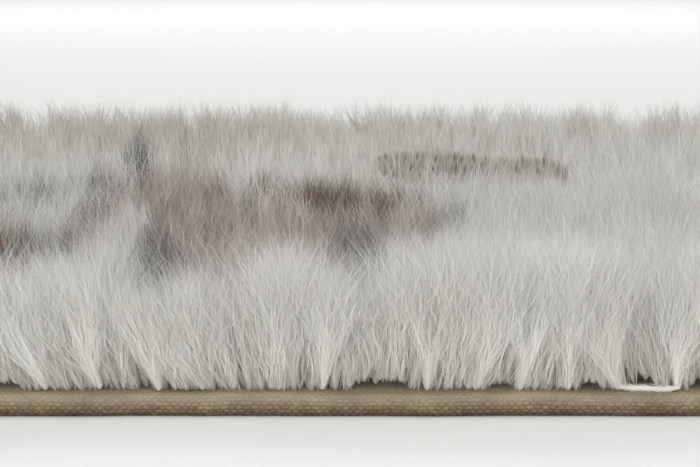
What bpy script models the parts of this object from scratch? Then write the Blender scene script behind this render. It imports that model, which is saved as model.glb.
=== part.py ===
"""A cut length of a tufted wool rug, 457 x 305 mm, lying flat with its pile up.

Two sewn and tufted pieces: a canvas backing whose edges are turned under, and the ivory
shag pile that stands on it, as a lumpy slab with separate locks of wool along its rim.
Metres, +Z up. The origin is on the floor under the middle of the backing, +X runs along
the front edge and -Y points to the front. The cloth has no joints.
"""

import math
import random
from collections import namedtuple

import bmesh
import bpy
from mathutils import Vector, noise

MM = 0.001
SEED = 7

# Backing: canvas folded under at all four edges
LENGTH = 457 * MM
WIDTH = 305 * MM
BACKING_THICKNESS = 3.8 * MM
TURNED_EDGE_RADIUS = 1.8 * MM
TURNED_EDGE_STEPS = 4

# Pile: one cell of the slab to each tuft
GAP = 0.3 * MM
BARE_CANVAS = 7 * MM
TUFT_PITCH = 8.85 * MM
PILE_TOP = 28 * MM
RIM_TOP = 26 * MM
RIM_SHOULDER = 27.5 * MM
CORNER_RADIUS = 12 * MM
WALL_LEVELS = (17 * MM, 10.5 * MM)
WALL_WAVER = 0.5 * MM

# Lumps of the pile's top: soft swells, and on them a tuft's point at every other corner
SWELL_HEIGHT = 2.2 * MM
SWELL_SPACING = 42 * MM
TUFT_HEIGHT = 1.9 * MM
TUFT_UNEVENNESS = 1.1 * MM
CELL_STRETCH = 1.37

# Parts of the pile that are cut lower, where its pattern lies
LowField = namedtuple("LowField", "x y half_x half_y depth")
LOW_FIELDS = (
    LowField(-16 * MM, -80 * MM, 38 * MM, 62 * MM, 3 * MM),
    LowField(24 * MM, -24 * MM, 22 * MM, 30 * MM, 4 * MM),
    LowField(-78 * MM, -112 * MM, 20 * MM, 26 * MM, 3 * MM),
)
LOW_FIELD_SLOPE = 9 * MM

# Locks: each leaves the slab's wall at its root and bends up to a pointed tip
ROOT_HEIGHT = 6.6 * MM
ROOT_WIDTH = 2.8 * MM
ROOT_DEPTH = 2.2 * MM
LockSection = namedtuple("LockSection", "reach rise width depth facing")
LOCK_SECTIONS = (
    LockSection(2.2 * MM, 2.6 * MM, 4.0 * MM, 2.6 * MM, 50),
    LockSection(3.4 * MM, 13.5 * MM, 5.8 * MM, 3.2 * MM, 86),
    LockSection(4.4 * MM, 22.6 * MM, 1.5 * MM, 1.1 * MM, 88),
)
LOCK_SWAY = 0.08
LOCK_HEIGHT_RANGE = (0.9, 1.06)
LOCK_REACH_RANGE = (0.88, 1.1)

CANVAS_COLOUR = (0.30, 0.25, 0.16)
WOOL_COLOUR = (0.66, 0.64, 0.57)


def clear_scene():
    for old in list(bpy.data.objects):
        bpy.data.objects.remove(old, do_unlink=True)


def material(name, colour, roughness):
    made = bpy.data.materials.new(name)
    made.use_nodes = True
    shader = made.node_tree.nodes["Principled BSDF"]
    shader.inputs["Base Color"].default_value = (*colour, 1)
    shader.inputs["Roughness"].default_value = roughness
    shader.inputs["Metallic"].default_value = 0
    return made


def move_to_collection(piece, collection):
    for old in list(piece.users_collection):
        old.objects.unlink(piece)
    collection.objects.link(piece)


def canvas_backing(collection):
    """The backing as one flat sheet, its edges rounded where the canvas is folded under."""
    bpy.ops.mesh.primitive_cube_add(size=1, location=(0, 0, BACKING_THICKNESS / 2))
    backing = bpy.context.object
    backing.name = "canvas_backing"
    backing.scale = (LENGTH, WIDTH, BACKING_THICKNESS)
    bpy.ops.object.transform_apply(location=False, rotation=False, scale=True)
    fold = backing.modifiers.new("turned edge", "BEVEL")
    fold.width = TURNED_EDGE_RADIUS
    fold.segments = TURNED_EDGE_STEPS
    backing.data.materials.append(material("canvas", CANVAS_COLOUR, 0.9))
    move_to_collection(backing, collection)


def low_field_depth(x, y):
    """How far the pile is cut down at this place."""
    deepest = 0
    for field in LOW_FIELDS:
        away = math.hypot((x - field.x) / field.half_x, (y - field.y) / field.half_y) - 1
        away *= min(field.half_x, field.half_y) / LOW_FIELD_SLOPE
        share = min(max(0.5 - away, 0), 1)
        deepest = max(deepest, share * field.depth)
    return deepest


def lumpy_top(x, y, rings_in, is_point):
    """Height of the pile's top, lower over the two outermost rings of tufts."""
    place = Vector((x, y, 0))
    swell = noise.noise(place / SWELL_SPACING) * SWELL_HEIGHT
    tuft = TUFT_HEIGHT if is_point else -TUFT_HEIGHT
    tuft += noise.cell(place / TUFT_PITCH * CELL_STRETCH) * TUFT_UNEVENNESS
    base = (RIM_TOP, RIM_SHOULDER)[rings_in] if rings_in < 2 else PILE_TOP
    return base + swell + tuft - low_field_depth(x, y)


def outward_of(co, half_x, half_y):
    """The level direction out of the slab's wall at this place, fanned around its corners."""
    inner_x = min(max(co.x, CORNER_RADIUS - half_x), half_x - CORNER_RADIUS)
    inner_y = min(max(co.y, CORNER_RADIUS - half_y), half_y - CORNER_RADIUS)
    return Vector((co.x - inner_x, co.y - inner_y, 0)).normalized()


def round_corner(x, y, half_x, half_y):
    """Moves a point of the rectangular grid in, so that the slab's corners are round."""
    out_x = abs(x) - (half_x - CORNER_RADIUS)
    out_y = abs(y) - (half_y - CORNER_RADIUS)
    if out_x <= 0 or out_y <= 0:
        return x, y
    shrink = 1 - max(out_x, out_y) / math.hypot(out_x, out_y)
    return x - math.copysign(out_x * shrink, x), y - math.copysign(out_y * shrink, y)


def pile_slab(bm):
    """The lumpy slab, and the faces of its wall that the locks leave from."""
    half_x = LENGTH / 2 - BARE_CANVAS
    half_y = WIDTH / 2 - BARE_CANVAS
    across = round(2 * half_x / TUFT_PITCH)
    along = round(2 * half_y / TUFT_PITCH)
    bmesh.ops.create_grid(bm, x_segments=across, y_segments=along, size=1)
    for vert in bm.verts:
        column = round((vert.co.x + 1) / 2 * across)
        row = round((vert.co.y + 1) / 2 * along)
        rings_in = min(column, across - column, row, along - row)
        x, y = vert.co.x * half_x, vert.co.y * half_y
        height = lumpy_top(x, y, rings_in, (column + row) % 2 == 0)
        vert.co = (*round_corner(x, y, half_x, half_y), height)

    rim = [edge for edge in bm.edges if edge.is_boundary]
    root_faces = []
    for level in (*WALL_LEVELS, BACKING_THICKNESS + GAP):
        made = bmesh.ops.extrude_edge_only(bm, edges=rim)["geom"]
        for vert in [item for item in made if isinstance(item, bmesh.types.BMVert)]:
            waver = noise.noise(vert.co / TUFT_PITCH) * WALL_WAVER if level in WALL_LEVELS else 0
            vert.co += outward_of(vert.co, half_x, half_y) * waver
            vert.co.z = level
        rim = [item for item in made if isinstance(item, bmesh.types.BMEdge) and item.is_boundary]
        root_faces = [item for item in made if isinstance(item, bmesh.types.BMFace)]
    bmesh.ops.contextual_create(bm, geom=rim)
    return root_faces


def place_section(face, centre, side, outward, facing, width, depth):
    """Sets a four-sided face as one section of a lock, facing out at 0 and up at 90 degrees."""
    turn = math.radians(facing)
    up = Vector((0, 0, 1))
    back = up * math.cos(turn) - outward * math.sin(turn)
    middle = face.calc_center_median()
    lift = up - face.normal * up.dot(face.normal)
    for vert in face.verts:
        offset = vert.co - middle
        across = math.copysign(width / 2, offset.dot(side))
        behind = math.copysign(depth / 2, offset.dot(lift))
        vert.co = centre + side * across + back * behind


def rim_lock(bm, root, rng):
    """One lock of wool, extruded from a face of the slab's wall."""
    outward = Vector((root.normal.x, root.normal.y, 0)).normalized()
    side = Vector((-outward.y, outward.x, 0))
    foot = root.calc_center_median()
    foot.z = ROOT_HEIGHT
    sway = rng.uniform(-LOCK_SWAY, LOCK_SWAY)
    taller = rng.uniform(*LOCK_HEIGHT_RANGE)
    further = rng.uniform(*LOCK_REACH_RANGE)
    bmesh.ops.inset_individual(bm, faces=[root], thickness=ROOT_DEPTH / 2)
    place_section(root, foot, side, outward, 0, ROOT_WIDTH, ROOT_DEPTH)
    face = root
    for section in LOCK_SECTIONS:
        face = bmesh.ops.extrude_discrete_faces(bm, faces=[face])["faces"][0]
        rise = section.rise * taller
        centre = foot + outward * section.reach * further + Vector((0, 0, rise))
        centre += side * sway * rise
        place_section(face, centre, side, outward, section.facing, section.width, section.depth)
        face.normal_update()


def shag_pile(collection):
    """The tufted pile: a lumpy slab with a lock of wool to each tuft along its rim."""
    rng = random.Random(SEED)
    bm = bmesh.new()
    roots = pile_slab(bm)
    bmesh.ops.recalc_face_normals(bm, faces=bm.faces[:])
    bm.normal_update()
    for root in roots:
        rim_lock(bm, root, rng)
    mesh = bpy.data.meshes.new("shag_pile")
    bm.to_mesh(mesh)
    bm.free()
    mesh.shade_smooth()
    pile = bpy.data.objects.new("shag_pile", mesh)
    pile.data.materials.append(material("wool", WOOL_COLOUR, 1))
    collection.objects.link(pile)


def main():
    clear_scene()
    rug = bpy.data.collections.new("wool_rug")
    bpy.context.scene.collection.children.link(rug)
    canvas_backing(rug)
    shag_pile(rug)


main()
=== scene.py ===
"""Looks of the wool rug: a cut length of ivory shag on turned canvas, lying flat.

Everything is in metres in the part's own frame: +X along the front edge, -Y to the front,
+Z up, the origin on the floor under the middle of the backing. The shag is made of pointed
ribbons of wool, grown tuft by tuft on a grid, finer where the photograph is close.
"""

import math
from collections import namedtuple

import bpy
import numpy as np
from mathutils import Euler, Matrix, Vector


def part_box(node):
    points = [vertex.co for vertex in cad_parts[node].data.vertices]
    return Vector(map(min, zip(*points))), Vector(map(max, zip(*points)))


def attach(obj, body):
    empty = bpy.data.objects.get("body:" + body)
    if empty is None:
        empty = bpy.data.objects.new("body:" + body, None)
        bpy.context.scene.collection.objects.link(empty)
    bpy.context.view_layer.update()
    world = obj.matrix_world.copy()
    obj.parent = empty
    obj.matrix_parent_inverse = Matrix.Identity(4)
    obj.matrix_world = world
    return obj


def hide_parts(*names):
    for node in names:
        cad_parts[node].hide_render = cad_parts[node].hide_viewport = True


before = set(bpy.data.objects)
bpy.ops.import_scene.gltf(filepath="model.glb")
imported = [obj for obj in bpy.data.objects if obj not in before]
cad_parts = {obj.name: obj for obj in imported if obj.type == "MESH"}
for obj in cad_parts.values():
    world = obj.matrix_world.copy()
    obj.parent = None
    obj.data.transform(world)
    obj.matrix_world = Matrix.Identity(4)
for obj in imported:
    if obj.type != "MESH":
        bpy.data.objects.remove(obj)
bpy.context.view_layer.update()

MM = 0.001
SEED = 11
FULL_TURN = 2 * math.pi

# Sizes of the cloth, from the frame
HALF_X, HALF_Y, CANVAS_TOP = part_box("canvas_backing")[1]
BODY = "root"

# The maps of the meshes: a strand's tone and height, and the count of the canvas's crossings
WOOL_MAP = "OFBake"
WEAVE_MAP = "weave"


def smooth(low, high, value):
    """0 below low, 1 above high, and a soft step between."""
    share = np.clip((value - low) / (high - low), 0, 1)
    return share * share * (3 - 2 * share)


def unit(vectors):
    return vectors / np.maximum(np.linalg.norm(vectors, axis=-1, keepdims=True), 1e-12)


WANDER_SHARES = (1.0, 0.55, 0.31)
WANDER_PHASES = 6.28


def wander(value, seed, spacing, height):
    """A smooth uneven line: a sum of three sines with their own phases."""
    rng = np.random.default_rng(seed)
    total = np.zeros_like(value)
    for share in WANDER_SHARES:
        phase = rng.uniform(0, WANDER_PHASES)
        total += math.sqrt(share) * np.sin(value / (spacing * share) * 2 * math.pi + phase)
    return total * height / 2


# Camera and stage

CAMERA_DISTANCE = 280 * MM
CAMERA_HEIGHT = 73.5 * MM
CAMERA_DEGREES_DOWN = 8.6
CAMERA_NEAR = 0.01
CAMERA_FAR = 20
LENS_MM = 88.7
SENSOR_MM = 36

FLOOR_HALF = 40.0
FLOOR_TONES = ((0.3, (0.865, 0.865, 0.86)), (0.7, (0.875, 0.875, 0.87)))
SKY_TONES = ((0.0, (1.0, 1.0, 1.0)), (0.9, (0.40, 0.40, 0.40)))
SKY_STRENGTH = 0.88

Lamp = namedtuple("Lamp", "name place aim size power")
LAMPS = (
    Lamp("key", (0.45, -0.75, 0.55), (0, -0.05, 0), 0.5, 2.8),
    Lamp("fill", (-0.25, -0.95, 0.22), (0, -0.12, 0), 0.5, 5.6),
    Lamp("backdrop", (0, 2.8, 2.2), (0, 2.8, 0), 4.4, 64),
)


def add_to_scene(name, data):
    made = bpy.data.objects.new(name, data)
    bpy.context.scene.collection.objects.link(made)
    return made


def make_camera():
    data = bpy.data.cameras.new("camera")
    data.lens = LENS_MM
    data.sensor_width = SENSOR_MM
    data.clip_start = CAMERA_NEAR
    data.clip_end = CAMERA_FAR
    camera = add_to_scene("camera", data)
    camera.location = (0, -HALF_Y - CAMERA_DISTANCE, CAMERA_HEIGHT)
    camera.rotation_euler = Euler((math.radians(90 - CAMERA_DEGREES_DOWN), 0, 0))
    bpy.context.scene.camera = camera


def make_lamp(lamp):
    data = bpy.data.lights.new(lamp.name, "AREA")
    data.shape = "DISK"
    data.size = lamp.size
    data.energy = lamp.power
    made = add_to_scene(lamp.name, data)
    made.location = lamp.place
    made.rotation_euler = (Vector(lamp.aim) - Vector(lamp.place)).to_track_quat("-Z", "Y").to_euler()


def make_floor():
    half = FLOOR_HALF
    corners = [(-half, -half, 0), (half, -half, 0), (half, half, 0), (-half, half, 0)]
    mesh = bpy.data.meshes.new("floor")
    mesh.from_pydata(corners, [], [(0, 1, 2, 3)])
    mesh.materials.append(floor_material())
    add_to_scene("floor", mesh)


def make_sky():
    """A plain sky, palest at the horizon."""
    world = bpy.data.worlds.new("studio")
    bpy.context.scene.world = world
    world.use_nodes = True
    tree = world.node_tree
    sky = tree.nodes["Background"]
    direction = add(tree, "ShaderNodeTexCoord").outputs["Generated"]
    up = add(tree, "ShaderNodeSeparateXYZ", Vector=direction).outputs["Z"]
    tree.links.new(ramp_node(tree, up, SKY_TONES), sky.inputs["Color"])
    sky.inputs["Strength"].default_value = SKY_STRENGTH


def make_stage():
    """A plain pale floor that fills the view, a soft sky and the lamps."""
    make_floor()
    make_sky()
    for lamp in LAMPS:
        make_lamp(lamp)
    bpy.context.scene.view_settings.view_transform = "Standard"


# Shader nodes

# Numbers of the colour sockets of the mix node
MIX_SHARE = 0
MIX_FIRST = 6
MIX_SECOND = 7
MIX_RESULT = 2


def node_material(name):
    """A new material with only its output node."""
    made = bpy.data.materials.new(name)
    made.use_nodes = True
    tree = made.node_tree
    tree.nodes.clear()
    out = tree.nodes.new("ShaderNodeOutputMaterial")
    return made, tree, out


def feed(tree, socket, value):
    """Links another node's socket to this one, or sets it to a plain value."""
    if isinstance(value, bpy.types.NodeSocket):
        tree.links.new(value, socket)
    else:
        socket.default_value = value


def add(tree, kind, settings=None, **inputs):
    """Adds a node, sets its properties, and sets or links its inputs by name or by index."""
    node = tree.nodes.new(kind)
    for key, value in (settings or {}).items():
        setattr(node, key, value)
    for key, value in inputs.items():
        socket = node.inputs[int(key[2:])] if key.startswith("at") else node.inputs[key.replace("_", " ")]
        feed(tree, socket, value)
    return node


def math_node(tree, operation, first, second=0.0):
    return add(tree, "ShaderNodeMath", {"operation": operation}, at0=first, at1=second).outputs[0]


def vector_node(tree, operation, first, second):
    return add(tree, "ShaderNodeVectorMath", {"operation": operation}, at0=first, at1=second).outputs[0]


def noise_node(tree, place, scale, detail, **settings):
    return add(tree, "ShaderNodeTexNoise", settings, Vector=place, Scale=scale, Detail=detail)


def ramp_node(tree, fac, stops):
    """A colour ramp over stops of (place, colour)."""
    node = add(tree, "ShaderNodeValToRGB", at0=fac)
    ramp = node.color_ramp
    while len(ramp.elements) < len(stops):
        ramp.elements.new(1)
    for element, (place, colour) in zip(ramp.elements, stops):
        element.position = place
        element.color = (*colour, 1)
    return node.outputs["Color"]


def mix_node(tree, blend, fac, first, second):
    """A mix of two colours."""
    node = add(tree, "ShaderNodeMix", {"data_type": "RGBA", "blend_type": blend})
    feed(tree, node.inputs[MIX_SHARE], fac)
    feed(tree, node.inputs[MIX_FIRST], first)
    feed(tree, node.inputs[MIX_SECOND], second)
    return node.outputs[MIX_RESULT]


def floor_material():
    made, tree, out = node_material("pale_floor")
    place = add(tree, "ShaderNodeTexCoord").outputs["Object"]
    grain = noise_node(tree, place, 6.0, 4.0).outputs["Fac"]
    colour = ramp_node(tree, grain, FLOOR_TONES)
    shader = add(tree, "ShaderNodeBsdfPrincipled", Base_Color=colour, Roughness=0.85)
    tree.links.new(shader.outputs[0], out.inputs["Surface"])
    return made


# Wool

# Through is the share of light that passes through a strand, and lock_shade and strand_shade say
# how much the shade varies from lock to lock and from strand to strand
# Root is the darker colour painted at each strand's foot as shade
Wool = namedtuple("Wool", "name through lock_shade strand_shade root tones")
WOOLS = (
    Wool("ivory", 0.5, 1.0, 0.05, (0.87, 0.85, 0.79), (
        (0.0, (0.66, 0.635, 0.56)), (0.28, (0.83, 0.81, 0.755)),
        (0.5, (0.90, 0.89, 0.85)), (1.0, (0.935, 0.93, 0.91)))),
    Wool("blush", 0.42, 2.2, 0.09, (0.40, 0.32, 0.28), (
        (0.0, (0.26, 0.18, 0.15)), (0.3, (0.52, 0.42, 0.38)),
        (0.65, (0.68, 0.585, 0.55)), (1.0, (0.84, 0.785, 0.76)))),
    Wool("slate", 0.42, 1.4, 0.22, (0.18, 0.178, 0.178), (
        (0.0, (0.06, 0.06, 0.063)), (0.4, (0.17, 0.172, 0.176)),
        (0.75, (0.34, 0.343, 0.348)), (1.0, (0.58, 0.58, 0.58)))),
    Wool("brown", 0.42, 1.6, 0.14, (0.15, 0.095, 0.08), (
        (0.0, (0.08, 0.045, 0.032)), (0.4, (0.19, 0.115, 0.085)),
        (0.75, (0.35, 0.245, 0.20)), (1.0, (0.60, 0.49, 0.44)))),
    Wool("taupe", 0.42, 0.6, 0.06, (0.40, 0.36, 0.32), (
        (0.0, (0.12, 0.09, 0.07)), (0.3, (0.20, 0.16, 0.13)),
        (0.55, (0.56, 0.52, 0.475)), (1.0, (0.80, 0.785, 0.75)))),
)
WOOL_INDEX = {wool.name: index for index, wool in enumerate(WOOLS)}
LOCK_SHADES = np.array([wool.lock_shade for wool in WOOLS])
STRAND_SHADES = np.array([wool.strand_shade for wool in WOOLS])
# Painted shade: how the root colour fades out up the strand
PAINTED_ROOT_SHADE_FADE = ((0.0, (1, 1, 1)), (0.3, (0, 0, 0)))


def wool_material(wool):
    """Wool fibre: the map's U is the strand's own tone, its V the height up the strand; low on the
    strand the root colour is painted as the shade at the pile's foot.
    """
    made, tree, out = node_material("wool_" + wool.name)
    place = add(tree, "ShaderNodeUVMap", {"uv_map": WOOL_MAP}).outputs["UV"]
    parts = add(tree, "ShaderNodeSeparateXYZ", Vector=place)
    tone = ramp_node(tree, parts.outputs["X"], wool.tones)
    painted_root_shade = ramp_node(tree, parts.outputs["Y"], PAINTED_ROOT_SHADE_FADE)
    colour = mix_node(tree, "MIX", painted_root_shade, tone, (*wool.root, 1))
    front = add(
        tree, "ShaderNodeBsdfPrincipled", Base_Color=colour, Roughness=0.75, Specular_IOR_Level=0.1,
        Sheen_Weight=0.15, Sheen_Roughness=0.5)
    through = add(tree, "ShaderNodeBsdfTranslucent", Color=colour)
    both = add(tree, "ShaderNodeMixShader", at0=wool.through, at1=front.outputs[0], at2=through.outputs[0])
    tree.links.new(both.outputs[0], out.inputs["Surface"])
    return made


# Canvas colours

# Stops of the ramps that are multiplied together
CANVAS_TONES = ((0.3, (0.225, 0.184, 0.122)), (0.7, (0.30, 0.252, 0.172)))
CROSSING_TONES = ((0.0, (0.66, 0.63, 0.6)), (1.0, (1.12, 1.12, 1.12)))
# Painted shade in the grooves between the weave's crossings
PAINTED_GROOVE_SHADE_TONES = ((0.0, (0.42, 0.37, 0.31)), (0.35, (0.84, 0.82, 0.79)), (0.85, (1.06, 1.06, 1.06)))
# Painted shade low on the turned edge and painted light at its top, by height
PAINTED_HEIGHT_SHADE_TONES = ((0.1, (0.42, 0.37, 0.32)), (0.75, (0.92, 0.92, 0.92)), (1.0, (1.1, 1.1, 1.1)))
SPECK_TONES = ((0.3, (0.72, 0.7, 0.67)), (0.7, (1.1, 1.1, 1.1)))
THREAD_SWAY = (0.9, 0.5, 0.0)
WEAVE_CLEAR_Z = 1.6 * MM
WEAVE_FAINT_Z = 3.7 * MM
WEAVE_DEPTH = 0.12 * MM


def arch_node(tree, value):
    """0 at whole numbers and 1 halfway between them."""
    return math_node(tree, "ABSOLUTE", math_node(tree, "SINE", math_node(tree, "MULTIPLY", value, math.pi)))


def woven_crossings(tree):
    """The height and the chance shade of the crossings that the weave map counts, laid like bricks."""
    threads = add(tree, "ShaderNodeUVMap", {"uv_map": WEAVE_MAP}).outputs["UV"]
    sway = noise_node(tree, threads, 0.9, 1.0, noise_dimensions="2D").outputs["Color"]
    sway = vector_node(tree, "SUBTRACT", sway, (0.5, 0.5, 0.5))
    sway = vector_node(tree, "MULTIPLY", sway, THREAD_SWAY)
    parts = add(tree, "ShaderNodeSeparateXYZ", Vector=vector_node(tree, "ADD", threads, sway))
    row = math_node(tree, "FLOOR", parts.outputs["Y"])
    shift = math_node(tree, "FRACT", math_node(tree, "MULTIPLY", row, 0.5))
    column = math_node(tree, "ADD", parts.outputs["X"], shift)
    pillow = math_node(tree, "MULTIPLY", arch_node(tree, column), arch_node(tree, parts.outputs["Y"]))
    pillow = math_node(tree, "POWER", pillow, 1.1)
    cell = add(tree, "ShaderNodeCombineXYZ", X=math_node(tree, "FLOOR", column), Y=row).outputs[0]
    chance = add(tree, "ShaderNodeTexWhiteNoise", {"noise_dimensions": "2D"}, Vector=cell).outputs["Value"]
    return pillow, chance


def canvas_material():
    """Plain-woven canvas, its weave clearest low on the turned edge; painted shade darkens it low on
    the edge and in the grooves between its crossings, and painted light brightens its top.
    """
    made, tree, out = node_material("canvas")
    place = add(tree, "ShaderNodeTexCoord").outputs["Object"]
    pillow, chance = woven_crossings(tree)
    level = add(tree, "ShaderNodeSeparateXYZ", Vector=place).outputs["Z"]
    fading = add(
        tree, "ShaderNodeMapRange", at0=level, at1=WEAVE_CLEAR_Z, at2=WEAVE_FAINT_Z, at3=1.0, at4=0.0)
    low = fading.outputs[0]
    fibre = noise_node(tree, place, 2400.0, 3.0).outputs["Fac"]
    cloud = noise_node(tree, place, 110.0, 3.0).outputs["Fac"]
    # Painted groove shade, strongest low on the edge
    painted_groove_share = math_node(tree, "ADD", math_node(tree, "MULTIPLY", low, 0.65), 0.12)
    layers = (
        (math_node(tree, "MULTIPLY", low, 0.85), chance, CROSSING_TONES),
        (painted_groove_share, pillow, PAINTED_GROOVE_SHADE_TONES),
        # Painted shade by height: darker low on the edge, lighter at the top
        (1.0, math_node(tree, "DIVIDE", level, CANVAS_TOP), PAINTED_HEIGHT_SHADE_TONES),
        (0.6, fibre, SPECK_TONES),
    )
    shade = ramp_node(tree, cloud, CANVAS_TONES)
    for share, value, tones in layers:
        shade = mix_node(tree, "MULTIPLY", share, shade, ramp_node(tree, value, tones))
    relief = math_node(tree, "ADD", pillow, math_node(tree, "MULTIPLY", fibre, 0.4))
    bump = add(tree, "ShaderNodeBump", Strength=0.6, Distance=WEAVE_DEPTH, Height=relief)
    shader = add(
        tree, "ShaderNodeBsdfPrincipled", Base_Color=shade, Roughness=0.9, Normal=bump.outputs[0],
        Specular_IOR_Level=0.2)
    tree.links.new(shader.outputs[0], out.inputs["Surface"])
    return made


# Meshes

def array_mesh(name, points, faces, maps, slots=None, normals=None):
    """A mesh from arrays: faces is a list of (n, corners) arrays, maps gives (u, v) by vertex."""
    mesh = bpy.data.meshes.new(name)
    corners = np.concatenate([group.ravel() for group in faces])
    sizes = np.concatenate([np.full(len(group), group.shape[1]) for group in faces])
    mesh.vertices.add(len(points))
    mesh.vertices.foreach_set("co", points.astype(np.float32).ravel())
    mesh.loops.add(len(corners))
    mesh.loops.foreach_set("vertex_index", corners.astype(np.int32))
    mesh.polygons.add(len(sizes))
    starts = np.concatenate([[0], np.cumsum(sizes)[:-1]])
    mesh.polygons.foreach_set("loop_start", starts.astype(np.int32))
    for map_name, values in maps.items():
        layer = mesh.uv_layers.new(name=map_name)
        layer.uv.foreach_set("vector", values[corners].astype(np.float32).ravel())
    if slots is not None:
        mesh.polygons.foreach_set("material_index", slots.astype(np.int32))
    mesh.update(calc_edges=True)
    mesh.validate()
    mesh.shade_smooth()
    if normals is not None:
        mesh.normals_split_custom_set_from_vertices(normals.astype(np.float32))
    return mesh


def grid_quads(index):
    """Quads over a grid of vertex numbers."""
    return np.stack([index[:-1, :-1], index[1:, :-1], index[1:, 1:], index[:-1, 1:]], -1).reshape(-1, 4)


def show(mesh, materials):
    """Makes a shown piece of a mesh, riding on the rug's one body."""
    piece = add_to_scene(mesh.name, mesh)
    for one in materials:
        mesh.materials.append(one)
    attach(piece, BODY)
    return piece


# Canvas

# The rounding of its edge and corners, then how far in from the edge it is drawn: in close steps
# on top, in all on top, and underneath
CANVAS_ROUND = 1.8 * MM
CORNER_ROUND = 2.2 * MM
CANVAS_FINE_TOP = 3.2 * MM
CANVAS_SHOWN = 9 * MM
CANVAS_UNDER = 6 * MM

# A crossing of its threads, and the relief of the weave where the photograph is close
CROSSING_WIDTH = 1.28 * MM
CROSSING_HEIGHT = 0.70 * MM
CROSSING_UNEVEN = (0.6, 1.3)
RELIEF = 0.27 * MM
RELIEF_SUNK = 0.35
RELIEF_HALF = 74 * MM
RELIEF_FADE = 8 * MM
RELIEF_LOW_Z = 0.5 * MM
RELIEF_WORN_Z = 2.4 * MM
RELIEF_WORN = 0.7
PLAIN_STEP = 4.6 * MM
WELD_GAP = 0.01 * MM

# Spacing and height of the edge's unevenness, in and out and up and down, except at its ends
WAVER = (61 * MM, 0.25 * MM)
WAVER_DEPTH = 3 * MM
RISE = (43 * MM, 0.2 * MM)
END_SHARE = 0.985


def canvas_profile():
    """Inset and height along the turned edge, from underneath to the top, closest where it shows."""
    quarter = CANVAS_ROUND * math.pi / 2
    side = CANVAS_TOP - 2 * CANVAS_ROUND
    low = CANVAS_UNDER
    shown = low + 2 * quarter + side + CANVAS_FINE_TOP
    fine = CROSSING_HEIGHT * np.arange(math.floor(low / CROSSING_HEIGHT), shown / CROSSING_HEIGHT, 0.5)
    length = low + 2 * quarter + side + CANVAS_SHOWN
    along = np.concatenate([[0, low / 2], fine, [(shown + length) / 2, length]])
    inset = np.where(along < low, CANVAS_ROUND + low - along, 0)
    height = np.zeros_like(along)

    # The lower rounding, the upright side, the upper rounding and the flat top
    turn = np.clip((along - low) / CANVAS_ROUND, 0, math.pi / 2)
    inset = np.where(along >= low, CANVAS_ROUND * (1 - np.sin(turn)), inset)
    height = np.where(along >= low, CANVAS_ROUND * (1 - np.cos(turn)), height)
    rest = along - low - quarter
    height = np.where(rest > 0, CANVAS_ROUND + np.clip(rest, 0, side), height)
    turn = np.clip((rest - side) / CANVAS_ROUND, 0, math.pi / 2)
    inset = np.where(rest > side, CANVAS_ROUND * (1 - np.cos(turn)), inset)
    height = np.where(rest > side, CANVAS_TOP - CANVAS_ROUND * (1 - np.sin(turn)), height)
    flat = rest - side - quarter
    inset = np.where(flat > 0, CANVAS_ROUND + flat, inset)
    return along, inset, height


def weave_relief(column, row, places, height, number):
    """How far the crossings of the threads stand out, on the front side only."""
    shape = (len(places), len(height))
    if number != 0:
        return np.zeros(shape)
    rng = np.random.default_rng(number)
    brick = column + 0.5 * (np.floor(row + 0.25) % 2)
    pillow = np.abs(np.sin(math.pi * brick)) * np.abs(np.sin(math.pi * row))
    relief = RELIEF * (pillow * rng.uniform(*CROSSING_UNEVEN, shape) - RELIEF_SUNK)
    relief *= smooth(RELIEF_HALF, RELIEF_HALF - RELIEF_FADE, np.abs(places))[:, None]
    relief *= 1 - RELIEF_WORN * smooth(RELIEF_WORN_Z, CANVAS_TOP - 0.1 * MM, height)[None, :]
    relief *= smooth(0.0, RELIEF_LOW_Z, height)[None, :]
    return relief


def canvas_side(places, half_long, half_deep, number):
    """One side of the canvas as if it were the front: points (places, profile, 3) and the map."""
    along, inset, height = canvas_profile()
    x = places[:, None] * (1 - inset[None, :] / half_long)
    out = -np.gradient(height, along)
    up = np.gradient(inset, along)
    column = places[:, None] / CROSSING_WIDTH
    row = along[None, :] / CROSSING_HEIGHT
    shape = (len(places), len(along))
    relief = weave_relief(column, row, places, height, number)
    waver = wander(places, number, *WAVER)[:, None] * (inset < WAVER_DEPTH)[None, :]
    rise = wander(places, number + 7, *RISE)[:, None] * (height / CANVAS_TOP)[None, :]
    y = -half_deep + inset[None, :] + waver + out[None, :] * relief
    z = height[None, :] + rise + up[None, :] * relief
    ends = smooth(END_SHARE, 1.0, np.abs(places) / half_long)[:, None]
    y = y * (1 - ends) + (-half_deep + inset[None, :]) * ends
    z = z * (1 - ends) + height[None, :] * ends
    points = np.stack([np.broadcast_to(x, shape), y, z], -1)
    weave = np.stack([np.broadcast_to(column, shape), np.broadcast_to(row, shape)], -1)
    return points, weave


def side_places(number, long_half):
    """Places along one side, close together in the middle of the front."""
    if number != 0:
        return np.linspace(-long_half, long_half, round(2 * long_half / PLAIN_STEP) + 1)
    quarters = round(RELIEF_HALF / (CROSSING_WIDTH / 4))
    fine = CROSSING_WIDTH / 4 * np.arange(-quarters, quarters + 1)
    outer = np.linspace(RELIEF_HALF, long_half, round((long_half - RELIEF_HALF) / PLAIN_STEP) + 1)
    return np.concatenate([-outer[::-1], fine[1:-1], outer])


def round_corners(points):
    """Draws the four corners of the cloth in to their rounding."""
    over_x = np.abs(points[:, 0]) - (HALF_X - CORNER_ROUND)
    over_y = np.abs(points[:, 1]) - (HALF_Y - CORNER_ROUND)
    corner = (over_x > 0) & (over_y > 0)
    shrink = np.where(corner, 1 - np.maximum(over_x, over_y) / np.maximum(np.hypot(over_x, over_y), 1e-9), 0)
    points[:, 0] -= np.sign(points[:, 0]) * over_x * shrink
    points[:, 1] -= np.sign(points[:, 1]) * over_y * shrink


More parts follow.
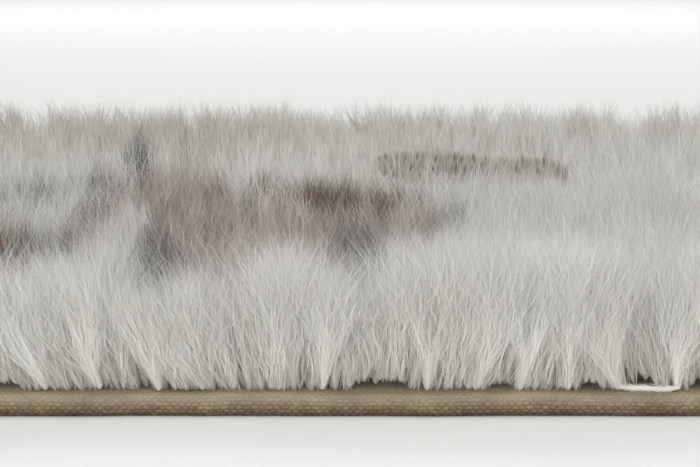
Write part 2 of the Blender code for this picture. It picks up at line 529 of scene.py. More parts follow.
def canvas_cloth():
    """The canvas with its four turned edges, and its real weave where the photograph is close."""
    points, maps, quads, rims = [], [], [], []
    for number in range(4):
        long_half, deep_half = (HALF_X, HALF_Y) if number % 2 == 0 else (HALF_Y, HALF_X)
        side, weave = canvas_side(side_places(number, long_half), long_half, deep_half, number)
        for _ in range(number):
            side = np.stack([-side[..., 1], side[..., 0], side[..., 2]], -1)
        rows, columns = side.shape[:2]
        base = sum(len(group) for group in points)
        index = base + np.arange(rows * columns).reshape(rows, columns)
        quads.append(grid_quads(index))
        rims.append((index[:, 0], index[:, -1]))
        points.append(side.reshape(-1, 3))
        maps.append(weave.reshape(-1, 2))
    points = np.concatenate(points)
    round_corners(points)
    under = np.concatenate([rim[0][:-1] for rim in rims])[::-1].reshape(1, -1)
    over = np.concatenate([rim[1][:-1] for rim in rims]).reshape(1, -1)
    mesh = array_mesh("canvas_cloth", points, [*quads, under, over], {WEAVE_MAP: np.concatenate(maps)})
    piece = show(mesh, [canvas_material()])
    weld = piece.modifiers.new("joined corners", "WELD")
    weld.merge_threshold = WELD_GAP
    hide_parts("canvas_backing")
    return piece


# Pattern of the pile

# Each patch is an ellipse, its place and half sizes in millimetres and its turn in degrees, and
# share is how much of the wool in it is dyed
Patch = namedtuple("Patch", "wool x y half_x half_y turn share")
PATCHES = (
    Patch("blush", -24, -99, 19, 42, 0, 0.94),
    Patch("blush", -36, -70, 17, 36, 10, 0.94),
    Patch("blush", -42, -20, 10, 40, 8, 0.9),
    Patch("blush", -2, -100, 19, 30, 0, 0.92),
    Patch("blush", 8, -92, 12, 24, 0, 0.85),
    Patch("blush", -51, -107, 5, 19, 5, 0.85),
    Patch("blush", -57, -26, 5, 22, 5, 0.75),
    Patch("blush", -86, -112, 15, 20, 0, 0.9),
    Patch("ivory", -42.5, -108, 4.4, 26, 4, 1),
    Patch("brown", 0.5, -52, 17, 16, 0, 1),
    Patch("brown", -19.5, -38, 3.5, 16, 0, 0.8),
    Patch("brown", -29, -97, 1.4, 17, 8, 0.8),
    Patch("brown", -31, -40, 1.6, 15, 0, 0.7),
    Patch("brown", -22.5, -100, 1.6, 8, 0, 0.7),
    Patch("brown", -63, -116, 8.5, 19, 0, 1),
    Patch("brown", -92, -104, 8, 9, 0, 0.9),
    Patch("slate", -35.5, -119, 3.1, 25, 9, 0.92),
    Patch("slate", 2.5, -122, 4.6, 22, 0, 1),
    Patch("slate", 20.5, -86, 2.8, 22, -4, 0.9),
    Patch("slate", -58, 40, 3.2, 46, 7, 0.85),
    Patch("slate", -59, -30, 4.2, 18, 0, 0.85),
    Patch("slate", -54, -78, 3.2, 14, 0, 1),
    Patch("slate", -48, -50, 3, 12, 0, 0.85),
    Patch("slate", -57, -113, 5, 13, 0, 0.9),
    Patch("slate", -75, -46, 7, 13, 0, 0.8),
    Patch("slate", -68, -42, 5, 12, 0, 0.65),
    Patch("slate", -100, -92, 5, 30, 12, 0.85),
    Patch("slate", -50, 78, 1.6, 12, 0, 0.6),
    Patch("slate", -45, 32, 1.4, 10, 0, 0.6),
    Patch("slate", -40, 12, 1.4, 10, 0, 0.6),
)
TAUPE_FIELDS = (
    Patch("taupe", 21, 14, 14, 30, 0, 1),
    Patch("taupe", 44, 3, 11, 24, 0, 0.6),
)
PATCH_EDGE = 1.0 * MM


def inside_patch(patch, x, y):
    turn = math.radians(patch.turn)
    right, deep = x / MM - patch.x, y / MM - patch.y
    across = (right * math.cos(turn) + deep * math.sin(turn)) / patch.half_x
    along = (deep * math.cos(turn) - right * math.sin(turn)) / patch.half_y
    return across**2 + along**2 < 1


def inside_fields(x, y, spread=1):
    """Whether each place is in a taupe field, whose half sizes may be spread."""
    inside = np.zeros(x.shape, bool)
    for field in TAUPE_FIELDS:
        wider = field._replace(half_x=field.half_x * spread, half_y=field.half_y * spread)
        inside |= inside_patch(wider, x, y)
    return inside


def wool_at(x, y, rng):
    """The wool at each place: a patch's own in its dyed share, else ivory."""
    found = np.zeros(x.shape, int)
    chance = rng.random(x.shape)
    for patch in PATCHES:
        hit = inside_patch(patch, x, y)
        found[hit] = np.where(chance[hit] < patch.share, WOOL_INDEX[patch.wool], found[hit])
    return found


# Tufts of the shag

TUFT_PITCH = 8.85 * MM
ROOT_INSET = 5.2 * MM
FRONT_INSET = 3.6 * MM
FRONT_Y = -HALF_Y + FRONT_INSET
PLACE_SPREAD = 1.0 * MM
LEAN_SPREAD = 0.07
CLOSE_HALF = 66 * MM
VIEW_SPREAD = 0.21

# The front tufts in view: place along the edge, distance set back, and lean at the foot
FrontTuft = namedtuple("FrontTuft", "x back lean")
FRONT_TUFTS = (
    FrontTuft(-51.3, 0, -0.36), FrontTuft(-42.3, 0.6, -0.46), FrontTuft(-32.2, -0.4, -0.16),
    FrontTuft(-24.8, 0, -0.50), FrontTuft(-12.0, 0, -0.10), FrontTuft(-4.7, 0.3, 0.06),
    FrontTuft(4.4, 4.6, 0.02), FrontTuft(13.0, 0, 0.02), FrontTuft(21.2, 0, 0.24),
    FrontTuft(28.8, 0.2, 0.28), FrontTuft(36.8, 0, 0.02), FrontTuft(45.3, 0, -0.42),
    FrontTuft(55.2, 0, -0.06),
)
FRONT_TABLE_HALF = 58 * MM

# Where the fleece between the front feet lifts and shows a dark gap: place, half width, height
GAPS = (
    (-58.0, 2.4, 1.2), (5.2, 4.4, 1.5), (25.2, 2.0, 1.0),
    (40.6, 1.6, 1.2), (49.8, 1.9, 1.8), (59.6, 2.2, 1.2),
)


def tuft_table(**columns):
    """Tufts as a dictionary of arrays of one length."""
    size = max(np.size(value) for value in columns.values())
    return {key: np.broadcast_to(np.asarray(value, float), (size,)).copy() for key, value in columns.items()}


def chosen(tufts, mask):
    return {key: value[mask] for key, value in tufts.items()}


def outward(number, last, lean):
    """A lean away from the cloth in its first and its last row."""
    return np.select([number == 0, number == last], [-lean, lean], 0)


def front_tufts():
    """The tufts of the front edge that the photograph shows."""
    x, back, lean = np.array(FRONT_TUFTS).T
    return tuft_table(
        x=x * MM, y=FRONT_Y + back * MM, lean_x=lean, lean_y=-0.09, height=1, ring=0, row=0, lift=0,
        shade=0.08)


def grid_tufts():
    """Root, lean and height of every tuft, with its row and how many tufts in from the rim it is."""
    rng = np.random.default_rng(SEED)
    across = round(2 * (HALF_X - ROOT_INSET) / TUFT_PITCH)
    along = round(2 * (HALF_Y - ROOT_INSET) / TUFT_PITCH)
    column, row = [part.ravel() for part in np.meshgrid(np.arange(across + 1), np.arange(along + 1))]
    count = len(column)
    ring = np.minimum.reduce([column, across - column, row, along - row])
    x = (column / across * 2 - 1) * (HALF_X - ROOT_INSET)
    y = (row / along * 2 - 1) * (HALF_Y - ROOT_INSET)
    inside = ring > 0
    x += np.where((row % 2 == 1) & inside, TUFT_PITCH / 2, 0)
    x += rng.normal(0, PLACE_SPREAD, count) * np.where(inside | (row == 0) | (row == along), 1, 0.2)
    y += rng.normal(0, PLACE_SPREAD, count) * np.where(inside | (column == 0) | (column == across), 1, 0.25)

    # Leans that drift over the cloth, calmer at the rim
    lean_x = -0.06 + wander(x + 0.7 * y, 3, 95 * MM, 0.22) + wander(y - 0.4 * x, 5, 60 * MM, 0.14)
    lean_x += rng.normal(0, LEAN_SPREAD, count)
    lean_y = -0.04 + wander(y + 0.5 * x, 9, 80 * MM, 0.2) + rng.normal(0, LEAN_SPREAD, count)
    lean_x += wander(1.2 * x + 0.4 * y, 21, 38 * MM, 0.34)
    lean_y += wander(y - 0.5 * x, 23, 33 * MM, 0.3)
    inward = np.select([ring == 0, ring == 1], [0.5, 0.8], 1.0)
    lean_x = lean_x * inward + outward(column, across, 0.08)
    lean_y = lean_y * inward + outward(row, along, 0.06)

    # Heights, higher and more uneven towards the back, and painted shade, darker and patchier there
    back = smooth(40 * MM, 130 * MM, y)
    height = 1 + rng.normal(0, 0.05, count)
    height = height + wander(x - y, 13, 70 * MM, 0.05) + wander(x + 0.6 * y, 17, 29 * MM, 0.06)
    height += back * (0.11 + wander(x + 0.3 * y, 31, 24 * MM, 0.1))
    height = np.minimum(height, 1.07 + 0.14 * back)
    lean_x += back * wander(1.1 * x + 0.3 * y, 43, 27 * MM, 0.4)
    # Painted shade: darker at the back and the back left, and in patches for the shade between lumps
    shade = -0.06 - 0.15 * back - 0.18 * smooth(-20 * MM, 70 * MM, y) * smooth(60 * MM, -40 * MM, x)
    patchy = wander(x - 0.3 * y, 37, 23 * MM, 1) + wander(y + 0.5 * x, 41, 31 * MM, 1)
    shade += (0.05 + 0.13 * back) * patchy
    return tuft_table(
        x=x, y=y, lean_x=lean_x, lean_y=lean_y, height=height, ring=ring, row=row, lift=0, shade=shade)


def all_tufts():
    """The grid's tufts, with the front ones in view put at their own places."""
    grid = grid_tufts()
    front = front_tufts()
    keep = ~((grid["row"] == 0) & (np.abs(grid["x"]) < FRONT_TABLE_HALF))
    return {key: np.concatenate([front[key], grid[key][keep]]) for key in grid}


# The curtain's wisps: how many, their depth behind and ahead of the feet in millimetres
CURTAIN_COUNT = 680
CURTAIN_DEPTH = 5
CURTAIN_AHEAD = 0.8
CURTAIN_LIFT = 0.3 * MM


def curtain_tufts():
    """The fleece between and behind the front feet, in small wisps that hang down to the canvas."""
    rng = np.random.default_rng(SEED + 5)
    count = CURTAIN_COUNT
    x = rng.uniform(-CLOSE_HALF, CLOSE_HALF, count)
    feet, _, leans = np.array(FRONT_TUFTS).T
    lean = 0.8 * np.interp(x / MM, feet, leans) + rng.normal(0, 0.16, count)
    lift = CURTAIN_LIFT * rng.random(count) ** 2
    for place, half, rise in GAPS:
        lift += rise * MM * smooth(1.3, 0.6, np.abs(x / MM - place) / half)
    return tuft_table(
        x=x, y=FRONT_Y + (CURTAIN_DEPTH * rng.random(count) ** 2 - CURTAIN_AHEAD) * MM, lean_x=lean,
        lean_y=rng.normal(-0.10, 0.08, count), height=rng.normal(0.96, 0.05, count), lift=lift,
        shade=rng.normal(0.02, 0.06, count))


# The taupe fields, in millimetres: the ticks' pitch and rows, the part of a row that they fill,
# and the pitch of the felt's small tufts
TICK_PITCH = 2.5
TICK_SHARE = 0.45
TICK_ROWS = 25
TICK_LOW = 10
TICK_HIGH = 19
FELT_PITCH = (1.0, 4.0)
FELT_HEIGHT = 0.84
FIELD_SPREAD = 1.1


def felt_places(field, rng):
    """Places of a field's small tufts in millimetres, and which of them are in a dark tick."""
    x, y = [part.ravel() for part in np.meshgrid(
        np.arange(-field.half_x, field.half_x, FELT_PITCH[0]),
        np.arange(-field.half_y, field.half_y, FELT_PITCH[1]))]
    uneven = y + 3 * np.sin(x / 3.3) + field.half_y
    row = np.floor(uneven / TICK_ROWS)
    deep = uneven % TICK_ROWS
    place = x / TICK_PITCH + 0.5 * row
    dark = (place % 1 < TICK_SHARE) & (deep > TICK_LOW) & (deep < TICK_HIGH)
    chance = np.abs(np.sin(127.1 * np.floor(place) + 311.7 * row + field.x) * 437.5) % 1
    dark &= chance < 0.92 * field.share
    x, y = field.x + x + rng.normal(0, 0.15, len(x)), field.y + y + rng.normal(0, 0.8, len(x))
    return np.stack([x, y, dark], -1)


def dash_tufts():
    """The taupe fields: a low even felt of small tufts, dyed dark in two rows of ticks."""
    rng = np.random.default_rng(SEED + 6)
    x, y, dark = np.concatenate([felt_places(field, rng) for field in TAUPE_FIELDS]).T
    tufts = tuft_table(
        x=x * MM, y=y * MM, lean_x=-0.03, lean_y=-0.03 + rng.normal(0, 0.02, len(x)),
        height=FELT_HEIGHT + rng.normal(0, 0.008, len(x)) + 0.02 * dark, lift=0, dark=dark, shade=0)
    return chosen(tufts, inside_fields(x * MM, y * MM, FIELD_SPREAD))


# Growth of the shag's pieces

# The strands to a tuft, the points to a strand, where up the pile a strand starts, the strands'
# width, the locks' fan, the radius of a tuft's foot and of a lock, the frizz, the dye, how far the
# wisps swing forward, how loose the strands are, and how much painted shade darkens their feet.
# The widths, the fan, the radii and the swing are in millimetres
Growth = namedtuple("Growth", "strands points start width fan root lock frizz dye swing loose shaded")
GROWTHS = {
    "shag_front": Growth(1240, 6, 0.0, 0.052, 5.4, 1.0, 1.9, 1.3, "none", 0, 0.09, 0.0),
    "shag_curtain": Growth(25, 6, 0.0, 0.062, 1.5, 0.75, 1.3, 1.6, "none", 0.6, 0.08, 0.27),
    "shag_second": Growth(360, 5, 0.1, 0.1, 5.4, 0.9, 1.9, 1.3, "patches", 0, 0.06, 0.2),
    "shag_near": Growth(355, 3, 0.5, 0.125, 5.4, 0.9, 1.8, 1.4, "patches", 0, 0.035, 0.2),
    "shag_middle": Growth(285, 3, 0.5, 0.175, 5.4, 0.9, 1.8, 1.3, "patches", 0, 0.03, 0.2),
    "shag_far": Growth(96, 3, 0.45, 0.25, 5.4, 0.9, 2.0, 1.1, "patches", 0, 0.02, 0.2),
    "shag_rim": Growth(100, 4, 0.0, 0.45, 5.6, 1.3, 2.2, 1.0, "none", 0, 0.06, 0.1),
    "shag_rest": Growth(40, 3, 0.42, 0.6, 5.2, 1.0, 2.2, 1.0, "patches", 0, 0.05, 0.2),
    "shag_dashes": Growth(9, 3, 0.86, 0.24, 0.25, 0.25, 0.3, 0.1, "dashes", 0, 0.01, 0.0),
}
STRAND_SEED = 21

# The last row of tufts of each piece
SECOND_ROWS = 2
NEAR_ROWS = 8
MIDDLE_ROWS = 14


def in_metres(growth):
    return growth._replace(
        width=growth.width * MM, fan=growth.fan * MM, root=growth.root * MM, lock=growth.lock * MM,
        swing=growth.swing * MM)


def tuft_groups():
    """The tufts of each piece of the shag, by its name."""
    tufts = all_tufts()
    x, y, ring, row = tufts["x"], tufts["y"], tufts["ring"], tufts["row"]
    in_view = np.abs(x) < CLOSE_HALF + (y + HALF_Y) * VIEW_SPREAD
    plain = ~(inside_fields(x, y) & (ring > 0))
    far = row > MIDDLE_ROWS
    return {
        "shag_front": chosen(tufts, (row == 0) & in_view),
        "shag_curtain": curtain_tufts(),
        "shag_second": chosen(tufts, (row > 0) & (row <= SECOND_ROWS) & in_view),
        "shag_near": chosen(tufts, (row > SECOND_ROWS) & (row <= NEAR_ROWS) & in_view & plain),
        "shag_middle": chosen(tufts, (row > NEAR_ROWS) & ~far & in_view & plain),
        "shag_far": chosen(tufts, far & in_view & (ring > 0) & plain),
        "shag_rim": chosen(tufts, (ring == 0) & (~in_view | far)),
        "shag_rest": chosen(tufts, ~in_view & (ring > 0)),
        "shag_dashes": dash_tufts(),
    }


# Locks and strands

PILE_HEIGHT = 26.3 * MM
PATTERN_CUT = 0.95
ROOT_Z = CANVAS_TOP + 0.1 * MM
OVERHANG = 12 * MM
TOP_Z = 31 * MM
BACK_TOP_Z = 30.5 * MM
BACK_Y = 90 * MM

# The locks of a tuft, and how far their reach, height and bend vary
LOCKS = 7
GOLDEN_ANGLE = 2.39996
LOCK_REACHES = (0.8, 1.15)
LOCK_UNEVEN = (-0.12, 0.07)
LOCK_BEND = 0.10

# Strands that are bold or very loose, and by how much a strand may be shorter than its lock
BOLD_SHARE = 0.05
BOLD_WIDTH = 1.8
BOLD_LENGTH = 0.8
BOLD_APART = 0.6
LOOSE_SHARE = 0.25
SHORTER = 0.36

# Shares of a strand's height between which the tuft opens into locks, and a lock closes to its tip
OPENING = (0.06, 0.5)
CLOSING = (0.5, 1.05)
FOOT_SPREAD_Z = 0.8 * MM

# Waves up a strand, in radians, and their heights, slow and quick ones in millimetres
SLOW_WAVES = 6
SLOW_HEIGHTS = (0.4, 1.8)
QUICK_WAVES = 13
QUICK_HEIGHTS = (0.1, 0.4)
SWEEP_WAVES = 4.5
SWEEP = 1.1 * MM

# Tones of the wool between 0 and 1: the middle, and what is added in dyed wool, ticks and felt
MIDDLE_TONE = 0.6
DYED_TONE = -0.08
TICK_TONE = -0.28
FELT_TONE = 0.2
TONE_LIMITS = (0.02, 0.98)

# Height of the front fleece along the edge, as (place, share of the pile's height), and how deep
# behind the edge the front fleece and the rows behind it follow that height
FRONT_TOPS = (
    (-60, 0.86), (-55, 0.93), (-46, 1.03), (-42, 1.06), (-38.5, 0.98), (-36, 0.76), (-31, 0.78),
    (-28.5, 0.98), (-21, 0.97), (-16, 1.04), (-11, 1.10), (-4, 1.03), (-1.5, 0.87), (4.5, 0.87),
    (7.5, 1.08), (12, 1.14), (60, 1.13),
)
FRONT_TOPS_HALF = 60
FRONT_TOPS_DEPTH = 13 * MM
BEHIND_TOPS_DEPTH = 26 * MM

Locks = namedtuple("Locks", "x y height bend_x bend_y tone curve_x curve_y ragged_x ragged_y")
Strands = namedtuple("Strands", "tuft mine bold apart off_x off_y t")
Ribbons = namedtuple("Ribbons", "centres facing tangent across")


def front_tops(own, reach_x, height, growth):
    """The share of their height that locks near the front edge keep."""
    end_x = (own["x"] + reach_x + 0.55 * height * own["lean_x"]) / MM
    tops = np.interp(end_x, *np.array(FRONT_TOPS).T)
    shown = np.abs(end_x) < FRONT_TOPS_HALF
    if growth.dye == "none":
        return np.where((own["y"] < -HALF_Y + FRONT_TOPS_DEPTH) & shown, tops, 1)
    if growth.dye == "patches":
        return np.where((own["y"] < -HALF_Y + BEHIND_TOPS_DEPTH) & shown, np.minimum(tops, 1), 1)
    return 1


def part_locks(tufts, growth, rng):
    """Parts each tuft's wool into a few locks that fan out evenly from its root."""
    count = len(tufts["x"])
    shape = (count, LOCKS)
    own = {key: value[:, None] for key, value in tufts.items()}
    unruly = min(1, growth.frizz)
    number = np.arange(LOCKS)[None, :]
    angle = number * GOLDEN_ANGLE + rng.uniform(0, FULL_TURN, (count, 1)) + rng.normal(0, 0.25, shape)
    reach = np.sqrt((number + 0.5) / LOCKS) * rng.uniform(*LOCK_REACHES, shape) * growth.fan
    x, y = reach * np.cos(angle), reach * np.sin(angle)
    height = own["height"] * PILE_HEIGHT * (1 + rng.uniform(*LOCK_UNEVEN, shape) * unruly)
    height = height * front_tops(own, x, height, growth)
    bend_x, bend_y = rng.normal(0, LOCK_BEND, (2, *shape)) * unruly
    tone = rng.normal(0, 0.05, (count, 1)) + rng.normal(0, 0.06, shape)
    if growth.dye == "dashes":
        tone = tone + np.where(own["dark"] > 0, TICK_TONE, FELT_TONE)
    curve_x, curve_y = rng.uniform(0, FULL_TURN, (2, *shape))
    ragged_x, ragged_y = rng.normal(0, PATCH_EDGE, (2, *shape)) * np.array([1, 2.2])[:, None, None]
    return Locks(x, y, height, bend_x, bend_y, tone, curve_x, curve_y, ragged_x, ragged_y)


def spread_strands(tufts, growth, rng):
    """Spreads strands over the tufts: each is in one of its tuft's locks, some way off its middle."""
    tuft = np.repeat(np.arange(len(tufts["x"])), growth.strands)
    count = len(tuft)
    lock = rng.integers(0, LOCKS, count)
    around = rng.uniform(0, FULL_TURN, count)
    bold = rng.random(count) < BOLD_SHARE
    apart = np.sqrt(rng.uniform(0, 1, count)) * np.where(bold, BOLD_APART, 1)
    off_x, off_y = (apart * np.cos(around))[:, None], (apart * np.sin(around))[:, None]
    t = growth.start + (1 - growth.start) * np.linspace(0, 1, growth.points)[None, :]
    return Strands(tuft, (tuft, lock), bold, apart, off_x, off_y, t)


def strand_lines(own, lock, strands, growth, rng):
    """The strands' middle lines, gathered at the foot, opening into locks and pointed at the tip."""
    count = len(strands.tuft)
    t = strands.t
    length = 1 - SHORTER * min(1, growth.frizz) * rng.random(count) ** 1.5
    length = length * np.where(strands.bold, BOLD_LENGTH, 1)
    rise = lock.height * length[:, None]
    very_loose = rng.random(count) < LOOSE_SHARE
    loose = np.where(very_loose, 0.05 + 1.5 * growth.loose, growth.loose)[:, None] * growth.frizz
    stray_x, stray_y = loose * np.clip(rng.normal(0, 1, (2, count, 1)), -2, 2)
    phase = rng.uniform(0, FULL_TURN, (4, count))[:, :, None]
    slow = rng.uniform(*SLOW_HEIGHTS, count)[:, None] * MM * t * growth.frizz
    quick = rng.uniform(*QUICK_HEIGHTS, count)[:, None] * MM * growth.frizz * smooth(0, 0.3, t)
    sweep = SWEEP * growth.frizz * t

    # From the foot to the lock, then the tuft's lean and the lock's own bend
    opened = smooth(*OPENING, t)
    fan = 0.8 * opened + 0.2 * t**2
    foot = growth.root * (0.55 + 0.45 * smooth(-0.02, 0.05, t))
    gathered = foot * (1 - opened) + growth.lock * opened * (1 - 0.7 * smooth(*CLOSING, t))
    leaning = t - 0.45 * t**2
    x = own["x"] + fan * lock.x + gathered * strands.off_x
    y = own["y"] + fan * lock.y + gathered * strands.off_y
    x = x + rise * (own["lean_x"] * leaning + (lock.bend_x + stray_x) * t**2)
    y = y + rise * (own["lean_y"] * leaning + (lock.bend_y + stray_y) * t**2)

    # The strand's own waves and the lock's sweep
    x = x + slow * np.sin(SLOW_WAVES * t + phase[0]) + quick * np.sin(QUICK_WAVES * t + phase[1])
    y = y + slow * np.sin(SLOW_WAVES * t + phase[2]) + quick * np.sin(QUICK_WAVES * t + phase[3])
    x = x + sweep * np.sin(SWEEP_WAVES * t + lock.curve_x)
    y = y + sweep * np.sin(SWEEP_WAVES * t + lock.curve_y) - growth.swing * smooth(0, 0.3, t)
    slant = np.hypot(own["lean_x"] + lock.bend_x, own["lean_y"] + lock.bend_y)
    z = ROOT_Z + own["lift"] + (rise / np.sqrt(1 + 0.5 * slant**2) - own["lift"]) * t
    z = z + FOOT_SPREAD_Z * (strands.apart**2)[:, None] * np.clip(1 - 8 * t, 0, 1)
    return x, y, z


def strand_wool(x, y, lock, growth, rng):
    """The wool of each strand, from where its tip ends in the pattern."""
    if growth.dye == "patches":
        return wool_at(x[:, -1] + lock.ragged_x[:, 0], y[:, -1] + lock.ragged_y[:, 0], rng)
    return np.full(len(x), WOOL_INDEX["taupe" if growth.dye == "dashes" else "ivory"])


def within(place, half):
    """Draws what reaches far beyond the backing's edge softly back."""
    over = np.maximum(np.abs(place) - half - 0.6 * OVERHANG, 0)
    return place - np.sign(place) * (over - 0.4 * OVERHANG * np.tanh(over / (0.4 * OVERHANG)))


def below_top(y, z):
    """Draws what stands above the pile's top softly down."""
    top = np.where(y > BACK_Y, BACK_TOP_Z, TOP_Z)
    return np.where(z > top, top + 0.35 * (z - top), z)


def face_ribbons(centres, lock, strands, growth, rng):
    """Turns each ribbon away from its tuft's heart, and a little at random."""
    count = len(centres)
    out_x = lock.x / growth.fan + 0.8 * strands.off_x
    out_y = lock.y / growth.fan + 0.8 * strands.off_y
    facing = np.concatenate([out_x, out_y, np.zeros((count, 1))], -1)
    facing = unit(facing + rng.normal(0, 0.5, (count, 3)) * np.where(strands.bold, 0.4, 1)[:, None])
    tangent = unit(centres[:, -1] - centres[:, 0])
    return Ribbons(centres, facing, tangent, unit(np.cross(tangent, facing)))


def two_edges(first, second, tip):
    """Values along a ribbon's two edges, and then at the tip where they meet."""
    return np.concatenate([first[:, :-1], second[:, :-1], tip[:, -1:]], 1)


def ribbon_points(ribbons, strands, growth, rng):
    """The ribbons' vertices: thinner at the foot, widest low down and pointed at the tip."""
    t = strands.t
    bold = np.where(strands.bold, BOLD_WIDTH, 1)
    thickness = growth.width * (rng.uniform(0.6, 1.3, len(bold)) * bold)[:, None]
    thickness = thickness * (1 - 0.45 * t)
    thickness = thickness * (0.35 + 0.65 * smooth(0, 0.12, t))
    half = ribbons.across[:, None, :] * thickness[..., None] / 2
    centres = ribbons.centres
    return two_edges(centres - half, centres + half, centres).reshape(-1, 3)


def ribbon_faces(count, points):
    """Quads up each ribbon and a triangle at its tip."""
    base = (np.arange(count) * (2 * points - 1))[:, None, None]
    low = np.arange(points - 2)
    quads = (base + np.stack([low, low + points - 1, low + points, low + 1], -1)[None]).reshape(-1, 4)
    tips = (base[:, :, 0] + np.array([[points - 2, 2 * points - 3, 2 * points - 2]])).reshape(-1, 3)
    return quads, tips


def strand_map(wool, own, lock, strands, growth, rng):
    """The wool map of the ribbons: the strand's tone across and its height up."""
    t = strands.t
    count = len(wool)
    tone = MIDDLE_TONE + LOCK_SHADES[wool] * lock.tone[:, 0] + STRAND_SHADES[wool] * rng.normal(0, 1, count)
    # Ivory takes its tuft's tone shift, which carries the painted shade of the back and of the lumps
    tone = (tone + np.where(wool == WOOL_INDEX["ivory"], own["shade"][:, 0], DYED_TONE))[:, None]
    # Painted shade: the strand's lower half darkened by its growth's foot shade
    tone = np.clip(tone - growth.shaded * (1 - smooth(0.05, 0.5, t)), *TONE_LIMITS)
    up = np.broadcast_to(t, (count, growth.points))
    u = two_edges(tone - 0.01, tone + 0.01, tone)
    v = two_edges(up, up, up)
    return np.stack([u, 0.02 + 0.96 * v], -1).reshape(-1, 2)


def soft_normals(ribbons, lock, strands, growth):
    """Normals that are mostly the roundness of the lock and its tuft, so that the wool shades softly."""
    round_x = 0.75 * strands.off_x + 0.5 * lock.x / growth.fan
    round_y = 0.75 * strands.off_y + 0.5 * lock.y / growth.fan
    soft = np.stack(np.broadcast_arrays(round_x, round_y - 0.15, 0.15 + 0.75 * strands.t), -1)
    plain = np.cross(ribbons.across, ribbons.tangent)
    plain = plain * np.where(np.sum(plain * ribbons.facing, -1, keepdims=True) < 0, -1, 1)
    soft = unit(unit(soft) + 0.15 * plain[:, None, :])
    return two_edges(soft, soft, soft).reshape(-1, 3)


def grow(name, tufts, growth, seed, wools):
    """Grows the strands of some tufts and shows them as one piece of pointed ribbons."""
    rng = np.random.default_rng(seed)
    locks = part_locks(tufts, growth, rng)
    strands = spread_strands(tufts, growth, rng)
    own = {key: value[strands.tuft][:, None] for key, value in tufts.items()}
    lock = Locks(*[values[strands.mine][:, None] for values in locks])
    x, y, z = strand_lines(own, lock, strands, growth, rng)
    wool = strand_wool(x, y, lock, growth, rng)
    if growth.dye == "patches":
        z = ROOT_Z + (z - ROOT_Z) * np.where(wool > 0, PATTERN_CUT, 1)[:, None]
    x, y = within(x, HALF_X), within(y, HALF_Y)
    centres = np.stack([x, y, below_top(y, z)], -1)
    ribbons = face_ribbons(centres, lock, strands, growth, rng)
    points = ribbon_points(ribbons, strands, growth, rng)
    uv = strand_map(wool, own, lock, strands, growth, rng)
    normals = soft_normals(ribbons, lock, strands, growth)
    quads, tips = ribbon_faces(len(wool), growth.points)
    slots = np.concatenate([np.repeat(wool, growth.points - 2), wool])
    mesh = array_mesh(name, points, [quads, tips], {WOOL_MAP: uv}, slots, normals)
    return show(mesh, wools)


# Ground of the pile

GROUND_INSET = 9 * MM
GROUND_FRONT_INSET = 19 * MM
GROUND_STEP = 5.5 * MM
GROUND_TOP = 15 * MM
GROUND_UNEVEN = 1.2 * MM
GROUND_FOOT_Z = CANVAS_TOP + 0.4 * MM
GROUND_SHOULDER = 2 * MM
GROUND_DYED_Z = GROUND_TOP - 6 * MM


def pile_ground(wools):
    """The matted lower pile that closes the view between the strands, in the same pattern."""
    half_x = HALF_X - GROUND_INSET
    near, far = -HALF_Y + GROUND_FRONT_INSET, HALF_Y - GROUND_INSET
    columns, rows = round(2 * half_x / GROUND_STEP), round((far - near) / GROUND_STEP)
    a, b = np.meshgrid(np.arange(columns + 1), np.arange(rows + 1), indexing="ij")
    x, y = (a / columns * 2 - 1) * half_x, near + (far - near) * b / rows
    rng = np.random.default_rng(SEED + 1)
    z = GROUND_TOP + rng.normal(0, GROUND_UNEVEN, x.shape)
    ring = np.minimum.reduce([a, columns - a, b, rows - b])
    z = np.where(ring == 0, GROUND_FOOT_Z, np.where(ring == 1, z - GROUND_SHOULDER, z))
    points = np.stack([x, y, z], -1).reshape(-1, 3)
    index = np.arange(len(points)).reshape(x.shape)
    quads = grid_quads(index)
    edge = np.concatenate([index[:, 0], index[-1, 1:], index[-2::-1, -1], index[0, -2:0:-1]])
    middle = points[quads].mean(1)
    wool = wool_at(middle[:, 0], middle[:, 1], rng)
    wool[points[quads][:, :, 2].min(1) < GROUND_DYED_Z] = 0
    uv = np.stack([rng.uniform(0.3, 0.7, len(points)), rng.uniform(0.3, 0.5, len(points))], -1)
    faces = [quads, edge[::-1].reshape(1, -1)]
    mesh = array_mesh("pile_ground", points, faces, {WOOL_MAP: uv}, np.append(wool, 0))
    return show(mesh, wools)


# Float of yarn

FLOAT_ENDS = (44.8 * MM, 55.6 * MM)
FLOAT_RADIUS = 0.48 * MM
FLOAT_AHEAD = 0.3 * MM
FLOAT_WAVE = 0.3 * MM
FLOAT_TWIST = 7
FLOAT_STRANDS = 260
FLOAT_POINTS = 14
FLOAT_STRAND_WIDTH = 0.14 * MM


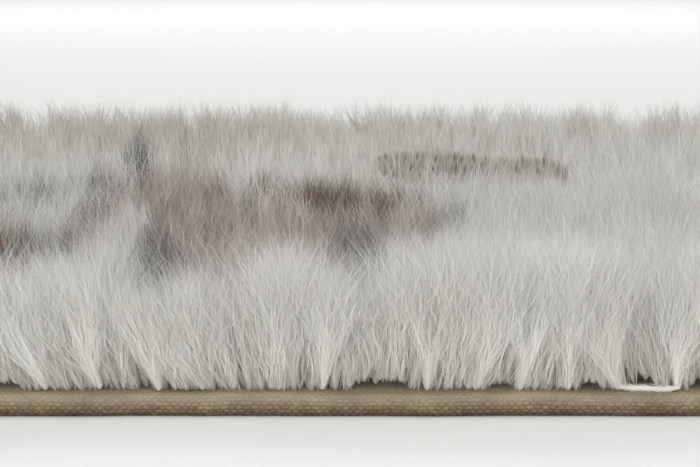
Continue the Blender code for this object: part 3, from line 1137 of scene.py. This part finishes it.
def yarn_float(wools):
    """The uncut stretch of yarn that lies on the canvas between two front tufts, strand by strand."""
    rng = np.random.default_rng(SEED + 8)
    first = rng.uniform(0, 0.25, FLOAT_STRANDS)[:, None]
    last = rng.uniform(0.75, 1.0, FLOAT_STRANDS)[:, None]
    share = first + (last - first) * np.linspace(0, 1, FLOAT_POINTS)[None, :]
    low, high = FLOAT_ENDS
    across = FLOAT_RADIUS * np.sqrt(rng.random(FLOAT_STRANDS))[:, None]
    across = across * np.where(rng.random(FLOAT_STRANDS) < 0.1, 1.9, 1)[:, None]
    turn = rng.uniform(0, FULL_TURN, FLOAT_STRANDS)[:, None] + FLOAT_TWIST * share
    x = low + (high - low) * share
    y = FRONT_Y - FLOAT_AHEAD + FLOAT_WAVE * np.sin(5 * share) + across * np.cos(turn)
    lift = 0.5 * MM * (2 * share - 1) ** 4 - 0.1 * MM * share
    z = CANVAS_TOP + FLOAT_RADIUS + lift + np.maximum(across * np.sin(turn), -FLOAT_RADIUS)
    half = np.stack([0 * x, -np.sin(turn), np.cos(turn)], -1) * FLOAT_STRAND_WIDTH / 2
    centres = np.stack([x, y, z], -1)
    points = np.concatenate([centres - half, centres + half], 1).reshape(-1, 3)
    base = (2 * FLOAT_POINTS * np.arange(FLOAT_STRANDS))[:, None, None]
    along = np.arange(FLOAT_POINTS - 1)
    strip = np.stack([along, along + FLOAT_POINTS, along + FLOAT_POINTS + 1, along + 1], -1)
    quads = (base + strip[None]).reshape(-1, 4)
    tone = rng.uniform(0.2, 0.7, FLOAT_STRANDS)[:, None]
    u = np.concatenate([np.repeat(tone - 0.01, FLOAT_POINTS, 1), np.repeat(tone + 0.01, FLOAT_POINTS, 1)], 1)
    v = np.concatenate([share, share], 1) * 0.3 + 0.05
    mesh = array_mesh("yarn_float", points, [quads], {WOOL_MAP: np.stack([u, v], -1).reshape(-1, 2)})
    return show(mesh, wools[:1])


def main():
    make_camera()
    make_stage()
    wools = [wool_material(wool) for wool in WOOLS]
    groups = tuft_groups()
    for number, (name, growth) in enumerate(GROWTHS.items()):
        grow(name, groups[name], in_metres(growth), STRAND_SEED + number, wools)
    pile_ground(wools)
    yarn_float(wools)
    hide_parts("shag_pile")
    canvas = canvas_cloth()


main()
